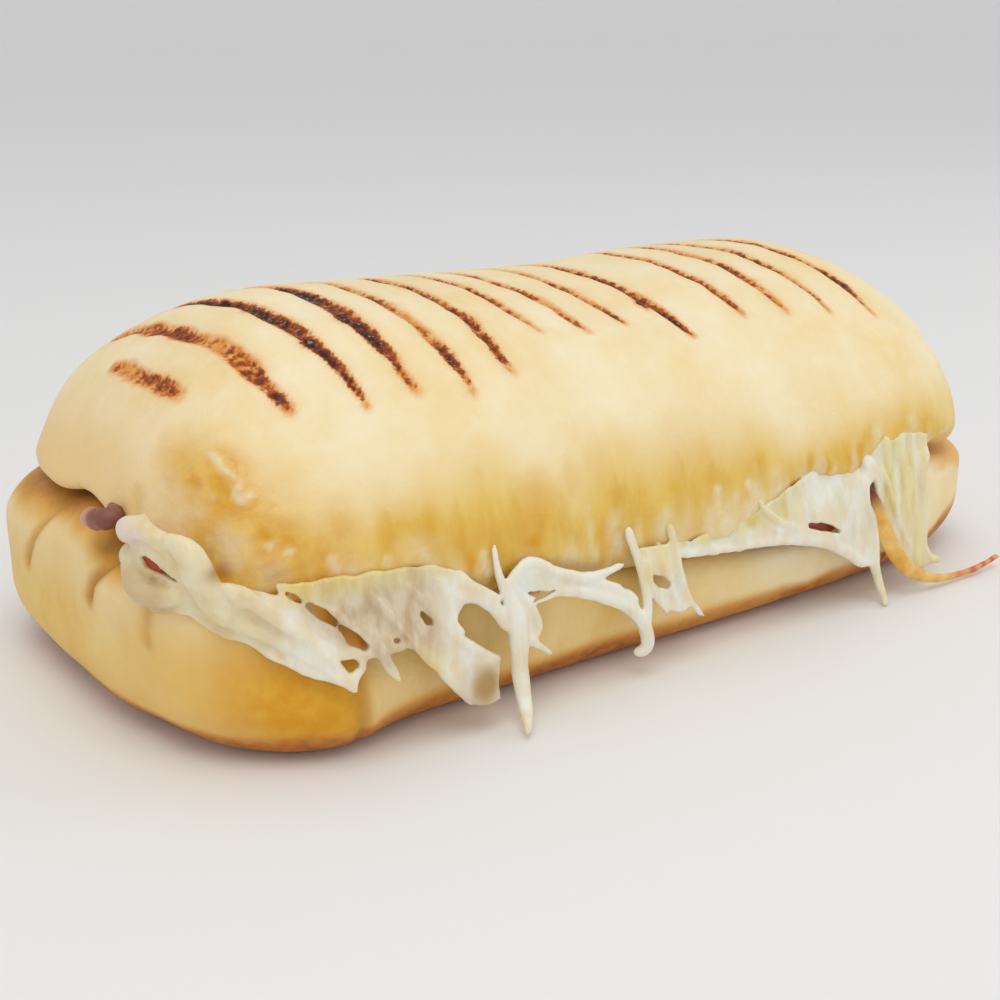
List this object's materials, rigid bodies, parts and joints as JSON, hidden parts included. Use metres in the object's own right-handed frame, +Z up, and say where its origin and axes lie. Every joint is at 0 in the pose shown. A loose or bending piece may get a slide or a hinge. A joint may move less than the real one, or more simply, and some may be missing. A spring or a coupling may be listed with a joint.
{
  "type": "panini",
  "caption": "Pressed oblong panini roll with grill marks on its domed top, split through and filled with ham and melted cheese that hangs in strands along the front.",
  "frame": {"origin": "middle of the flat base that the roll rests on", "axes": "+X along the roll, -Y towards the front where the cheese has run out, +Z up"},
  "size_m": [0.2071, 0.1141, 0.0689],
  "materials": {
    "bread_bottom": "soft matt crust, pale gold, browned along its lower edge",
    "ham": "moist cooked ham, pinkish brown",
    "cheese": "melted cheese, ivory and semi-gloss",
    "bread_top": "soft pale crust with dark grill marks, buttery low on the front",
    "ham_strip": "thin greasy ham edge, amber to red"
  },
  "bodies": {
    "root": {"bread_bottom": "bread_bottom", "ham": "ham", "cheese": "cheese", "bread_top": "bread_top", "ham_strip": "ham_strip"}
  },
  "joints": []
}
